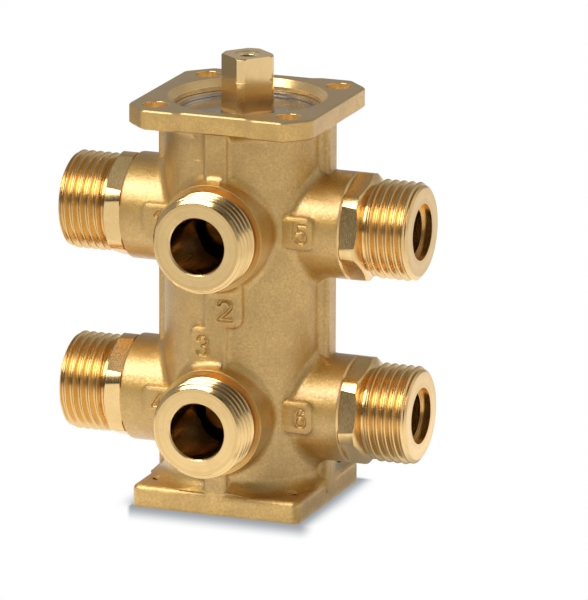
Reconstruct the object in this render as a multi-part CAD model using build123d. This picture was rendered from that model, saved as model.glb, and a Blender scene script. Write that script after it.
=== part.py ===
from build123d import *
import math
import os

# Six-way control valve: two three-way ball valves, one above the other, in one brass body.
# Millimetres and degrees. The body axis is Z, and the base stands on Z = 0.
# Port 1 and 4 point to -X, 2 and 3 to -Y, 5 and 6 to +X; 1, 2 and 5 are the upper row.

# Port places
lower_port_height = 21.0
port_spacing = 40.0
side_port_reach = 39.4
front_port_reach = 29.1

# Column, bosses and ribs of the forging
column_radius = 17.5
boss_radius = 11.4
boss_reach = 24.8
boss_blend = 2.4
boss_edge = 0.35
rib_reach = 18.9
side_rib_reach = 19.4
rib_width = 5.0
rib_edge = 0.8
rib_blend = 1.5
rib_sink = 0.05
collar_radius = 11.5
collar_reach = 21.7
crescent_radius = 13.4

# Base plate
base_thickness = 4.8
base_half_width = 18.9
base_front = 18.9
base_back = 17.6
base_corner = 1.6
base_edge = 1.2
base_blend = 3.0
base_hole_diameter = 2.2
base_hole_x = 15.3
base_hole_y = 12.9

# Actuator flange
flange_rise = 26.0
flange_thickness = 4.2
flange_size = 41.3
flange_corner_cut = 4.9
flange_corner_round = 2.0
flange_edge = 0.3
flange_blend = 2.2
flange_bolt_circle = 42.0
flange_hole_diameter = 5.6
waist_half_width = 8.9
waist_depth = 0.8
waist_slope = 1.8

# Label pads beside the ports
front_pad_width = 8.4
front_pad_height = 8.6
front_pad_corner = 2.0
front_pad_edge = 0.7
front_pad_overlap = 3.0
side_pad_start = 12.6
side_pad_end = 19.2
side_pad_reach = 12.4
side_pad_height = 7.2
side_pad_rise = 0.3
side_pad_corner = 1.4
side_pad_edge = 0.6
scoop_radius = 2.4
scoop_depth = 0.9
scoop_height = 6.5

# Pipe thread G 1/2 outside every port, drawn at its major diameter
thread_diameter = 20.955
thread_face_radius = 9.3
thread_chamfer = 0.8
relief_radius = 9.25
relief_length = 0.4
relief_slope = 0.5

# Hexagon of the side fittings
hexagon_across_flats = 21.0
hexagon_length = 4.5
hexagon_taper = 1.2
hexagon_angle_right = 49.3
hexagon_angle_left = 51.7

# Port bores
port_bore_diameter = 10.0
port_mouth_diameter = 12.0
port_mouth_depth = 1.9
front_bore_diameter = 12.0
front_bore_chamfer = 0.3

# Fitting shank, its seal and the seat that it holds
shank_radius = 8.75
shank_clearance = 0.05
shank_inner_reach = 11.4
neck_radius = 8.1
neck_length = 1.9
counterbore_radius = 9.8
counterbore_depth = 1.6
cup_radius = 7.6
cup_bottom_reach = 16.5
seat_radius = 7.5
seat_hole_radius = 4.25
seat_back_reach = 14.6

# Balls
ball_diameter = 26.0
ball_bore_diameter = 8.0
ball_clearance = 0.05
stem_slot_width = 6.0
stem_slot_depth = 4.4
link_slot_width = 5.0
link_slot_depth = 4.2
slot_clearance = 0.05

# The rotor is shown 6 degrees past its closed middle position
rotor_angle = 6.0

# Chambers
lower_chamber_radius = 14.0
upper_chamber_radius = 14.7
chamber_floor = 6.6

# Recess in the flange
recess_mouth_radius = 16.85
recess_cone_depth = 1.5
recess_wall_radius = 15.6
register_radius = 15.0

# Stem
stem_rise = 9.0
stem_radius = 5.55
flat_depth = 2.8
square_size = 9.0
stem_edge = 0.35
mark_rise = 3.9
mark_width = 0.4
mark_depth = 0.25
stem_tap_diameter = 4.2
stem_tap_depth = 10.0
stem_mouth_diameter = 5.7
collar_gap = 0.4
stem_collar_radius = 7.5
stem_collar_thickness = 1.2
washer_thickness = 0.8
thrust_gap = 0.05

# Bushes and the pieces above the stem bush
running_clearance = 0.05
washer_clearance = 0.1
cover_thickness = 1.2
cover_clearance = 0.1
stem_bush_length = 6.0
retaining_ring_thickness = 0.8
retaining_ring_inner = 14.5
retaining_groove_depth = 0.6
ring_clearance = 0.1
partition_gap = 2.0
link_radius = 5.0
link_gap = 0.4
partition_ring_thickness = 1.2
partition_ring_inner = 12.6
partition_groove_depth = 0.8

# Seals, drawn as they sit in their grooves
seal_section = 1.5
seal_clearance = 0.02
groove_width = 1.9
seal_spacing = 2.5

# Values worked out from the sizes above
upper_port_height = lower_port_height + port_spacing
flange_top = upper_port_height + flange_rise
stem_top = flange_top + stem_rise
stem_flat_start = flange_top - flat_depth
mark_height = flange_top + mark_rise
port_heights = {"upper": upper_port_height, "lower": lower_port_height}
thread_radius = thread_diameter / 2
ball_radius = ball_diameter / 2
flange_bottom = flange_top - flange_thickness
upper_ball_top = upper_port_height + ball_radius
upper_ball_bottom = upper_port_height - ball_radius
lower_ball_top = lower_port_height + ball_radius
collar_bottom = upper_ball_top + collar_gap
collar_top = collar_bottom + stem_collar_thickness
washer_bottom = collar_top + thrust_gap
stem_bush_bottom = washer_bottom + washer_thickness
stem_bush_top = stem_bush_bottom + stem_bush_length
cover_top = stem_bush_top + cover_thickness
retaining_ring_top = cover_top + retaining_ring_thickness + ring_clearance
retaining_ring_outer = recess_wall_radius + retaining_groove_depth - ring_clearance
partition_floor = lower_ball_top + partition_gap
partition_top = upper_ball_bottom - partition_gap
partition_ring_top = partition_top + partition_ring_thickness + ring_clearance
bush_radius = upper_chamber_radius - running_clearance
stem_bore_radius = stem_radius + running_clearance
link_bore_radius = link_radius + running_clearance
hexagon_end = boss_reach + hexagon_length
thread_start = hexagon_end + relief_length
seal_radius = seal_section / 2


def turned(*outline):
    """A solid of revolution about Z from (radius, height) corners."""
    corners = [(radius, 0, height) for radius, height in outline]
    return revolve(make_face(Polyline(*corners, close=True)), Axis.Z)


def tube(outer, inner, bottom, top):
    """A plain ring about Z."""
    return turned((inner, bottom), (outer, bottom), (outer, top), (inner, top))


def rod(radius, bottom, top):
    """A plain cylinder about Z."""
    return Pos(0, 0, bottom) * Cylinder(radius, top - bottom, align=(Align.CENTER, Align.CENTER, Align.MIN))


def block(low, high):
    """A box between two corners."""
    centre = [(a + b) / 2 for a, b in zip(low, high)]
    return Pos(*centre) * Box(*[b - a for a, b in zip(low, high)])


def pointing(side, height):
    """Turns a piece made along Z so that it points out of a port, with its own X to the back or up."""
    turn = {"right": Rot(0, 90, 0), "left": Rot(0, -90, 0), "front": Rot(90, 0, 0)}[side]
    return Pos(0, 0, height) * turn * Rot(0, 0, 90)


def concave_ring(radius, blend, height, upwards):
    """The filling between a cylinder about Z and a flat face, with a round hollow."""
    far = height + blend if upwards else height - blend
    ring = tube(radius + blend, radius - blend, min(height, far), max(height, far))
    return ring - Pos(0, 0, far) * Torus(radius + blend, blend)


def forged_blank():
    """The column with its six bosses and the soft blends between them."""
    blank = Rot(0, 0, 90) * rod(column_radius, 0, flange_top)
    for height in port_heights.values():
        for side in ("right", "left"):
            blank += pointing(side, height) * rod(boss_radius, 0, boss_reach)
        blank += pointing("front", height) * rod(collar_radius, 0, collar_reach)
    seams = [edge for edge in blank.edges() if edge.geom_type not in (GeomType.LINE, GeomType.CIRCLE)]
    blank = fillet(seams, boss_blend)
    boss_ends = [edge for edge in blank.edges() if edge.geom_type == GeomType.CIRCLE
                 and abs(abs(edge.center().X) - boss_reach) < 0.01]
    return chamfer(boss_ends, boss_edge)


def rib(reach):
    """An upright rib towards +X, with a hollow blend on both sides that ends a little inside the column."""
    half = rib_width / 2
    centre_y = half + rib_blend
    centre_distance = column_radius - rib_sink + rib_blend
    centre_x = math.sqrt(centre_distance ** 2 - centre_y ** 2)
    share = (column_radius - rib_sink) / centre_distance
    foot = (centre_x * share, centre_y * share)
    upper = block((0, -half, base_thickness / 2), (reach, half, flange_bottom))
    bar = fillet(upper.edges().filter_by(Axis.Z).group_by(Axis.X)[-1], rib_edge)
    flare = make_face(Polyline((0, 0), foot, (centre_x, half), (centre_x, 0), close=True))
    hollow = Pos(centre_x, centre_y) * Circle(rib_blend)
    flares = [Pos(0, 0, base_thickness / 2) * extrude(shape, flange_bottom - base_thickness / 2)
              for shape in (flare - hollow, mirror(flare - hollow, Plane.XZ))]
    return bar + flares


def ribs():
    """The upright ribs on the front and both sides."""
    return [rib(side_rib_reach), Rot(0, 0, 180) * rib(side_rib_reach), Rot(0, 0, -90) * rib(rib_reach)]


def base_plate():
    """The square foot with rounded edges and the hollow blend up to the column."""
    outline = block((-base_half_width, -base_front, 0), (base_half_width, base_back, base_thickness))
    outline = fillet(outline.edges().filter_by(Axis.Z), base_corner)
    plate = fillet(outline.edges().group_by(Axis.Z)[-1], base_edge)
    blend = concave_ring(column_radius, base_blend, base_thickness, True)
    limit = block((-base_half_width, -base_front, 0), (base_half_width, base_back, base_thickness + base_blend))
    return plate + (blend & limit)


def flange_plate():
    """The actuator flange with cut corners and a shallow waist in front and behind."""
    half = flange_size / 2
    inner = half - flange_corner_cut
    foot = waist_half_width - waist_slope
    quarter = [(foot, half - waist_depth), (waist_half_width, half), (inner, half), (half, inner)]
    outline = quarter + [(x, -y) for x, y in reversed(quarter)]
    outline += [(-x, -y) for x, y in quarter] + [(-x, y) for x, y in reversed(quarter)]
    plate = extrude(make_face(Polyline(*[(x, y, flange_bottom) for x, y in outline], close=True)),
                    flange_thickness)
    plate = fillet(plate.edges().filter_by(Axis.Z), flange_corner_round)
    plate = chamfer(plate.edges().group_by(Axis.Z)[-1] + plate.edges().group_by(Axis.Z)[0], flange_edge)
    return plate + concave_ring(column_radius, flange_blend, flange_bottom, False)


def front_pads():
    """The two flat label fields that widen the front rib, for ports 2 and 3."""
    pad = block((0, -rib_reach, 0), (front_pad_width - rib_width / 2, 0, front_pad_height + front_pad_overlap))
    corner = pad.edges().filter_by(Axis.Y).group_by(Axis.Z)[0].sort_by(Axis.X)[-1]
    pad = fillet(corner, front_pad_corner)
    pad = fillet(pad.faces().sort_by(Axis.Y)[0].edges(), front_pad_edge)
    place = Pos(0, 0, lower_port_height + port_spacing / 2)
    return [place * pad, place * Rot(0, 180, 0) * pad]


def side_pad(side, height):
    """A raised label field on the front of a side boss."""
    middle = height + side_pad_rise
    outward = 1 if side == "right" else -1
    ends = sorted((outward * side_pad_start, outward * side_pad_end))
    pad = block((ends[0], -side_pad_reach, middle - side_pad_height / 2),
                (ends[1], 0, middle + side_pad_height / 2))
    pad = fillet(pad.edges().filter_by(Axis.Y), side_pad_corner)
    return fillet(pad.faces().sort_by(Axis.Y)[0].edges(), side_pad_edge)


def crescent(height, pad_side):
    """The hollow blend that the tool leaves where a front port meets the rib and the pad on one side of it."""
    blend = crescent_radius - collar_radius
    ring = pointing("front", height) * concave_ring(collar_radius, blend, rib_reach, True)
    half = rib_width / 2 - rib_edge
    pad_end = front_pad_width - rib_width / 2 - front_pad_edge
    rib_limit = block((-half, -collar_reach, height - crescent_radius), (half, 0, height + crescent_radius))
    pad_limit = block((0, -collar_reach, height - crescent_radius), (pad_end, 0, height))
    if pad_side == "left":
        pad_limit = Pos(0, 0, 2 * height) * Rot(0, 180, 0) * pad_limit
    return ring & (rib_limit + pad_limit)


def front_port(height):
    """The threaded nose of a front port, part of the body."""
    nose = turned((0, 0), (collar_radius, 0), (collar_radius, collar_reach), (thread_radius, collar_reach),
                  (thread_radius, front_port_reach - thread_chamfer), (thread_face_radius, front_port_reach),
                  (0, front_port_reach))
    return pointing("front", height) * nose


def valve_body():
    body = forged_blank() + ribs() + base_plate() + flange_plate() + front_pads()
    for height in port_heights.values():
        body += front_port(height)
        body += crescent(height, "right" if height == upper_port_height else "left")
        for side in ("right", "left"):
            body += side_pad(side, height)
    scoop = Pos(-rib_width / 2 - scoop_radius, -column_radius - scoop_radius + scoop_depth, 0)
    body -= scoop * rod(scoop_radius, flange_bottom - scoop_height, flange_bottom)
    body -= chambers()
    for height in port_heights.values():
        body -= pointing("front", height) * front_bore()
        for side in ("right", "left"):
            body -= pointing(side, height) * side_cut()
    for x in (-1, 1):
        for y in (-1, 1):
            body -= Pos(x * base_hole_x, y * base_hole_y) * rod(base_hole_diameter / 2, 0, base_thickness)
    body -= flange_holes()
    return body


def chambers():
    """Everything bored from the top: ball chambers, ring grooves, register and recess."""
    cut = turned((0, chamber_floor), (lower_chamber_radius, chamber_floor),
                 (lower_chamber_radius, partition_floor), (upper_chamber_radius, partition_floor),
                 (upper_chamber_radius, stem_bush_top), (register_radius, stem_bush_top),
                 (register_radius, cover_top), (recess_wall_radius, cover_top),
                 (recess_wall_radius, flange_top - recess_cone_depth), (recess_mouth_radius, flange_top),
                 (0, flange_top))
    cut += tube(recess_wall_radius + retaining_groove_depth, register_radius - 1, cover_top, retaining_ring_top)
    cut += tube(upper_chamber_radius + partition_groove_depth, upper_chamber_radius - 1,
                partition_top, partition_ring_top)
    return cut


def front_bore():
    """The bore of a front port with its broken edge."""
    radius = front_bore_diameter / 2
    return turned((0, 0), (radius, 0), (radius, front_port_reach - front_bore_chamfer),
                  (radius + front_bore_chamfer, front_port_reach), (0, front_port_reach))


def side_cut():
    """The threaded hole of a side boss, with the counterbore for the fitting's seal."""
    bore = rod(shank_radius + shank_clearance, 0, boss_reach)
    return bore + rod(counterbore_radius, boss_reach - counterbore_depth, boss_reach)


def flange_holes():
    place = flange_bolt_circle / 2 / math.sqrt(2)
    return [Pos(x * place, y * place) * rod(flange_hole_diameter / 2, flange_bottom, flange_top)
            for x in (-1, 1) for y in (-1, 1)]


def fitting(hexagon_angle):
    """A screwed-in side fitting, made along Z with Z = 0 on the body axis."""
    apothem = hexagon_across_flats / 2
    hexagon = Pos(0, 0, boss_reach) * extrude(
        Rot(0, 0, hexagon_angle) * RegularPolygon(apothem, 6, major_radius=False, rotation=30), hexagon_length)
    turned_edge = turned((0, boss_reach), (boss_radius, boss_reach), (boss_radius, hexagon_end - hexagon_taper),
                         (relief_radius, hexagon_end), (0, hexagon_end))
    outside = turned((0, shank_inner_reach), (shank_radius, shank_inner_reach),
                     (shank_radius, boss_reach - neck_length), (neck_radius, boss_reach - neck_length),
                     (neck_radius, boss_reach), (relief_radius, boss_reach), (relief_radius, thread_start),
                     (thread_radius, thread_start + relief_slope),
                     (thread_radius, side_port_reach - thread_chamfer), (thread_face_radius, side_port_reach),
                     (0, side_port_reach))
    bore = turned((0, 0), (cup_radius, 0), (cup_radius, cup_bottom_reach),
                  (port_bore_diameter / 2, cup_bottom_reach),
                  (port_bore_diameter / 2, side_port_reach - port_mouth_depth),
                  (port_mouth_diameter / 2, side_port_reach - port_mouth_depth),
                  (port_mouth_diameter / 2, side_port_reach), (0, side_port_reach))
    return outside + (hexagon & turned_edge) - bore


def seat():
    """A plastic ball seat, made along Z with Z = 0 at the ball's centre."""
    ring = tube(seat_radius, seat_hole_radius, seat_back_reach - seat_radius, seat_back_reach)
    return ring - Sphere(ball_radius + ball_clearance)


def seat_seal():
    section = (cup_bottom_reach - seat_back_reach) / 2
    return Pos(0, 0, seat_back_reach + section) * Torus(cup_radius - section - 5 * shank_clearance, section)


def thread_seal():
    section = counterbore_depth / 2
    return Pos(0, 0, boss_reach - section) * Torus((neck_radius + counterbore_radius) / 2, section)


def ball(height, slots):
    """A ball with an L-shaped bore. slots holds (width, depth, +1 for the top or -1 for the bottom)."""
    solid = Sphere(ball_radius)
    for angle in (-135 + rotor_angle, -45 + rotor_angle):
        solid -= Rot(0, 0, angle) * Rot(0, 90, 0) * rod(ball_bore_diameter / 2, 0, ball_radius)
    solid -= Sphere(ball_bore_diameter / 2)
    for width, depth, end in slots:
        floor = end * (ball_radius - depth)
        slot = block((-ball_radius, -width / 2, min(floor, end * ball_radius)),
                     (ball_radius, width / 2, max(floor, end * ball_radius)))
        solid -= Rot(0, 0, rotor_angle) * slot
    return Pos(0, 0, height) * solid


def tang(radius, slot_width, bottom, top):
    """The two-flat end of a shaft that drives a ball."""
    thickness = slot_width - 2 * slot_clearance
    return rod(radius, bottom, top) & block((-radius, -thickness / 2, bottom), (radius, thickness / 2, top))


def seal_groove(surface_radius, height, inwards):
    """The cut for an O-ring in a shaft, or in the outside of a bush."""
    depth = seal_section - seal_clearance
    bottom = height - groove_width / 2
    return tube(surface_radius + inwards, surface_radius - depth, bottom, bottom + groove_width)


def seal_ring(outer_surface, height):
    """An O-ring that just reaches the outer surface it seals on."""
    return Pos(0, 0, height) * Torus(outer_surface - seal_clearance - seal_radius, seal_radius)


def seal_heights(bottom, top):
    """The places of two seals, evenly about the middle of a bush."""
    middle = (bottom + top) / 2
    return middle - seal_spacing / 2, middle + seal_spacing / 2


def stem():
    """The turned stem: a tang for the ball, a collar, and the square end."""
    bar = rod(stem_radius, collar_top - 0.1, stem_top)
    bar = chamfer(bar.edges().group_by(Axis.Z)[-1], stem_edge)
    half = square_size / 2
    square = Rot(0, 0, 45) * block((-half, -half, stem_flat_start), (half, half, stem_top))
    bar = (bar & rod(stem_radius, 0, stem_flat_start)) + (bar & square)
    bar -= tube(stem_radius + 1, stem_radius - mark_depth, mark_height - mark_width / 2, mark_height + mark_width / 2)
    solid = bar + rod(stem_collar_radius, collar_bottom, collar_top)
    solid += tang(stem_radius, stem_slot_width, upper_ball_top - stem_slot_depth + slot_clearance, collar_bottom)
    for height in seal_heights(stem_bush_bottom, stem_bush_top):
        solid -= seal_groove(stem_radius, height, 1)
    solid -= rod(stem_tap_diameter / 2, stem_top - stem_tap_depth, stem_top)
    mouth = (stem_mouth_diameter - stem_tap_diameter) / 2
    solid -= turned((0, stem_top - mouth), (stem_tap_diameter / 2, stem_top - mouth),
                    (stem_mouth_diameter / 2, stem_top), (0, stem_top))
    return Rot(0, 0, rotor_angle) * solid


def link_shaft():
    """The short shaft between the balls, with a tang at each end."""
    bottom = lower_ball_top + link_gap
    top = upper_ball_bottom - link_gap
    shaft = rod(link_radius, bottom, top)
    shaft += tang(link_radius, link_slot_width, lower_ball_top - link_slot_depth + slot_clearance, bottom)
    shaft += tang(link_radius, link_slot_width, top, upper_ball_bottom + link_slot_depth - slot_clearance)
    for height in seal_heights(partition_floor, partition_top):
        shaft -= seal_groove(link_radius, height, 1)
    return Rot(0, 0, rotor_angle) * shaft


def stem_bush():
    bush = tube(bush_radius, stem_bore_radius, stem_bush_bottom, stem_bush_top)
    return bush - seal_groove(bush_radius, (stem_bush_bottom + stem_bush_top) / 2, 1)


def partition_bush():
    bush = tube(bush_radius, link_bore_radius, partition_floor, partition_top)
    for height in seal_heights(partition_floor, partition_top):
        bush -= seal_groove(bush_radius, height, 1)
    return bush


def snap_ring(outer, inner, bottom, thickness, gap_angle):
    """An open spring ring lying in its groove, with its gap in front."""
    ring = tube(outer, inner, bottom, bottom + thickness)
    gap = 2 * outer * math.sin(math.radians(gap_angle / 2))
    return ring - block((-gap / 2, -outer, bottom), (gap / 2, 0, bottom + thickness))


pieces = {"valve_body": valve_body()}
for number, side, row in ((1, "left", "upper"), (4, "left", "lower"), (5, "right", "upper"), (6, "right", "lower")):
    place = pointing(side, port_heights[row])
    angle = hexagon_angle_right if side == "right" else hexagon_angle_left
    pieces[f"port_{number}_fitting"] = place * fitting(angle)
    pieces[f"port_{number}_seat"] = place * seat()
    pieces[f"port_{number}_seat_seal"] = place * seat_seal()
    pieces[f"port_{number}_thread_seal"] = place * thread_seal()

link_slot = (link_slot_width, link_slot_depth)
pieces["upper_ball"] = ball(upper_port_height, [(stem_slot_width, stem_slot_depth, 1), (*link_slot, -1)])
pieces["lower_ball"] = ball(lower_port_height, [(*link_slot, 1)])
pieces["stem"] = stem()
pieces["link_shaft"] = link_shaft()
pieces["stem_bush"] = stem_bush()
pieces["stem_bush_seal"] = seal_ring(upper_chamber_radius, (stem_bush_bottom + stem_bush_top) / 2)
pieces["thrust_washer"] = tube(stem_collar_radius, stem_radius + washer_clearance, washer_bottom, stem_bush_bottom)
pieces["cover_disc"] = tube(register_radius - cover_clearance, stem_radius + washer_clearance,
                            stem_bush_top, cover_top)
pieces["retaining_ring"] = snap_ring(retaining_ring_outer, retaining_ring_inner, cover_top + ring_clearance / 2,
                                     retaining_ring_thickness, 14)
pieces["partition_bush"] = partition_bush()
pieces["partition_ring"] = snap_ring(upper_chamber_radius + partition_groove_depth - ring_clearance,
                                     partition_ring_inner, partition_top + ring_clearance / 2,
                                     partition_ring_thickness, 20)
for name, outer_surface, bottom, top in (("stem", stem_bore_radius, stem_bush_bottom, stem_bush_top),
                                         ("link", link_bore_radius, partition_floor, partition_top),
                                         ("partition", upper_chamber_radius, partition_floor, partition_top)):
    for level, height in zip(("lower", "upper"), seal_heights(bottom, top)):
        pieces[f"{name}_{level}_seal"] = seal_ring(outer_surface, height)

os.makedirs("parts", exist_ok=True)
for name, piece in pieces.items():
    export_step(piece, f"parts/{name}.step")
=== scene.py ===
# Six-way control valve: the packed CAD model is the frame, and this add-on dresses it.
import math

import bmesh
import bpy
import numpy as np
from mathutils import Matrix, Vector


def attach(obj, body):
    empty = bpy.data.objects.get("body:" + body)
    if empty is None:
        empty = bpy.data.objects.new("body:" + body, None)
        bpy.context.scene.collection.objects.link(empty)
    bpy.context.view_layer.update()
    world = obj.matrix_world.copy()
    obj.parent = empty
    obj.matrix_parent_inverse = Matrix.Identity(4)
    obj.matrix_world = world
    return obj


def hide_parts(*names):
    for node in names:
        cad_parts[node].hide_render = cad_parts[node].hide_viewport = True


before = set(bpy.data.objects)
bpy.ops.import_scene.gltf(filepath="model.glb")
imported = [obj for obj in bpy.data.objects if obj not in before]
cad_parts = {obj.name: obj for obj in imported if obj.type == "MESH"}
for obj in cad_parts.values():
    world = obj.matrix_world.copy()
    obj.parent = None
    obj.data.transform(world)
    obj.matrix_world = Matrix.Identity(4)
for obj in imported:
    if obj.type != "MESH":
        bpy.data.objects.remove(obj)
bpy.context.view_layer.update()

bl_info = {
    "name": "Six-way control valve",
    "version": (1, 0, 0),
    "blender": (4, 5, 0),
    "location": "3D View > Sidebar > Valve",
    "description": "Builds the threads, numbers, finishes and studio of a brass six-way valve",
    "category": "Object",
}

MM = 0.001
LOWER_ROW = 21.0
UPPER_ROW = 61.0
ROWS = (UPPER_ROW, LOWER_ROW)
ROW_MIDDLE = (UPPER_ROW + LOWER_ROW) / 2
ROW_HALF = (UPPER_ROW - LOWER_ROW) / 2
SIDE_FITTINGS = {
    "port_1_fitting": (-1, UPPER_ROW),
    "port_4_fitting": (-1, LOWER_ROW),
    "port_5_fitting": (1, UPPER_ROW),
    "port_6_fitting": (1, LOWER_ROW),
}
FRONT_PORTS = {"port_2_thread": UPPER_ROW, "port_3_thread": LOWER_ROW}
# The frame brings plain materials under its slots' names, so the finishes have an ending of their own
FINISH_ENDING = "_finish"


# Sizes and colours that a user may change

class ThreadSizes(bpy.types.PropertyGroup):
    """Sizes of the pipe thread on all six ports"""

    major_radius: bpy.props.FloatProperty(
        name="Major radius", description="Radius over the thread crests",
        default=10.4775 * MM, unit="LENGTH", subtype="DISTANCE", precision=5)
    depth: bpy.props.FloatProperty(
        name="Depth", description="Height from root to crest",
        default=1.162 * MM, unit="LENGTH", subtype="DISTANCE", precision=5)
    pitch: bpy.props.FloatProperty(
        name="Pitch", description="Distance from crest to crest",
        default=1.814 * MM, unit="LENGTH", subtype="DISTANCE", precision=5)
    face_radius: bpy.props.FloatProperty(
        name="Face radius", description="Radius where the lead-in chamfer meets the end face",
        default=9.3 * MM, unit="LENGTH", subtype="DISTANCE", precision=5)
    chamfer: bpy.props.FloatProperty(
        name="Chamfer", description="Length of the lead-in chamfer",
        default=0.8 * MM, unit="LENGTH", subtype="DISTANCE", precision=5)
    segments: bpy.props.IntProperty(
        name="Segments", description="Facets around the thread", default=120, min=24)
    steps: bpy.props.IntProperty(
        name="Steps", description="Rows of facets along one pitch", default=15, min=6)


class NumberSizes(bpy.types.PropertyGroup):
    """Sizes of the port numbers sunk into the label pads"""

    stroke: bpy.props.FloatProperty(
        name="Stroke", description="Half the width of a stroke",
        default=0.45 * MM, unit="LENGTH", subtype="DISTANCE", precision=5)
    depth: bpy.props.FloatProperty(
        name="Depth", description="Depth of a stroke under the pad",
        default=0.38 * MM, unit="LENGTH", subtype="DISTANCE", precision=5)
    ridge: bpy.props.FloatProperty(
        name="Ridge", description="Height of the metal pushed up beside a stroke",
        default=0.08 * MM, unit="LENGTH", subtype="DISTANCE", precision=5)
    cell: bpy.props.FloatProperty(
        name="Cell", description="Size of the facets in a number field",
        default=0.1 * MM, unit="LENGTH", subtype="DISTANCE", precision=5)


class FinishColours(bpy.types.PropertyGroup):
    """Colours of the metal finishes"""

    forged: bpy.props.FloatVectorProperty(
        name="Forged brass", description="Blasted skin of the forging",
        default=(0.76, 0.48, 0.13), subtype="COLOR", min=0.0, max=1.0)
    # The forged and turned shades also give the bores their painted shade
    forged_shade: bpy.props.FloatVectorProperty(
        name="Forged shade", description="Darker patches of the blasted skin",
        default=(0.64, 0.39, 0.095), subtype="COLOR", min=0.0, max=1.0)
    turned: bpy.props.FloatVectorProperty(
        name="Turned brass", description="Machined brass of threads, faces and hexagons",
        default=(0.90, 0.64, 0.30), subtype="COLOR", min=0.0, max=1.0)
    turned_shade: bpy.props.FloatVectorProperty(
        name="Turned shade", description="Darker streaks of machined brass",
        default=(0.78, 0.50, 0.19), subtype="COLOR", min=0.0, max=1.0)
    milled: bpy.props.FloatVectorProperty(
        name="Milled brass", description="Satin top of the flange",
        default=(0.80, 0.57, 0.27), subtype="COLOR", min=0.0, max=1.0)
    steel: bpy.props.FloatVectorProperty(
        name="Steel", description="Retaining ring and cover disc",
        default=(0.62, 0.56, 0.48), subtype="COLOR", min=0.0, max=1.0)


class StudioSettings(bpy.types.PropertyGroup):
    """Camera place and lamp strengths"""

    azimuth: bpy.props.FloatProperty(
        name="Azimuth", description="Turn of the camera from the front",
        default=math.radians(21.0), unit="ROTATION", subtype="ANGLE")
    elevation: bpy.props.FloatProperty(
        name="Elevation", description="Height of the camera over the horizon",
        default=math.radians(15.1), unit="ROTATION", subtype="ANGLE")
    roll: bpy.props.FloatProperty(
        name="Roll", description="Tilt of the camera about its own view",
        default=math.radians(0.2), unit="ROTATION", subtype="ANGLE")
    distance: bpy.props.FloatProperty(
        name="Distance", description="From the camera to its target",
        default=1.557, unit="LENGTH", subtype="DISTANCE")
    aside: bpy.props.FloatProperty(
        name="Aside", description="Place of the target to the right of the body axis",
        default=9.91 * MM, unit="LENGTH", subtype="DISTANCE", precision=5)
    height: bpy.props.FloatProperty(
        name="Height", description="Height of the target over the floor",
        default=42.4 * MM, unit="LENGTH", subtype="DISTANCE", precision=5)
    lens: bpy.props.FloatProperty(
        name="Lens", description="Focal length on a 36 mm sensor", default=440.76)
    key_power: bpy.props.FloatProperty(
        name="Key power", description="Softbox in front, above and to the left",
        default=12.0, unit="POWER")
    floor_near: bpy.props.FloatProperty(
        name="Floor near", description="Brightness of the floor beside the valve, as metal shows it",
        default=1.1)
    floor_far: bpy.props.FloatProperty(
        name="Floor far", description="Brightness of the floor away from the valve, as metal shows it",
        default=0.78)


# Node helpers

def set_input(tree, socket, value):
    """Links a socket, or sets a plain value"""
    if isinstance(value, bpy.types.NodeSocket):
        tree.links.new(value, socket)
    elif value is not None:
        socket.default_value = value


def node(tree, kind, inputs=None, **settings):
    """Adds a node, with its settings and its inputs by name or place"""
    made = tree.nodes.new(kind)
    for key, value in settings.items():
        setattr(made, key, value)
    for key, value in (inputs or {}).items():
        set_input(tree, made.inputs[key], value)
    return made


def calc(tree, operation, *values):
    """One Math node, from numbers or sockets"""
    made = tree.nodes.new("ShaderNodeMath")
    made.operation = operation
    for place, value in enumerate(values):
        set_input(tree, made.inputs[place], value)
    return made.outputs[0]


def remap(tree, value, low, high, new_low, new_high, smooth=False):
    """Map Range, held inside its ends"""
    made = tree.nodes.new("ShaderNodeMapRange")
    made.interpolation_type = "SMOOTHSTEP" if smooth else "LINEAR"
    made.clamp = True
    for place, number in enumerate((value, low, high, new_low, new_high)):
        set_input(tree, made.inputs[place], number)
    return made.outputs[0]


def mix_colour(tree, factor, first, second):
    """Mixes two colours; a colour mix has them at its sockets 6 and 7"""
    made = tree.nodes.new("ShaderNodeMix")
    made.data_type = "RGBA"
    made.clamp_factor = True
    set_input(tree, made.inputs[0], factor)
    set_input(tree, made.inputs[6], first)
    set_input(tree, made.inputs[7], second)
    return made.outputs[2]


def noise(tree, vector, scale, detail, roughness):
    """Noise texture value"""
    made = node(tree, "ShaderNodeTexNoise",
                {"Vector": vector, "Scale": scale, "Detail": detail, "Roughness": roughness})
    return made.outputs["Fac"]


def new_group(name, kind, inputs, outputs):
    """A node group with named sockets; inputs are (name, socket type, default)"""
    tree = bpy.data.node_groups.new(name, kind)
    for label, socket_type, default in inputs:
        socket = tree.interface.new_socket(name=label, in_out="INPUT", socket_type=socket_type)
        if default is not None:
            socket.default_value = default
    for label, socket_type in outputs:
        tree.interface.new_socket(name=label, in_out="OUTPUT", socket_type=socket_type)
    return tree, tree.nodes.new("NodeGroupInput"), tree.nodes.new("NodeGroupOutput")


def use_group(tree, name, **values):
    """Places a shader group with its own values"""
    made = tree.nodes.new("ShaderNodeGroup")
    made.node_tree = bpy.data.node_groups[name]
    for key, value in values.items():
        set_input(tree, made.inputs[key.replace("_", " ")], value)
    return made


# Shader groups

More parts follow.
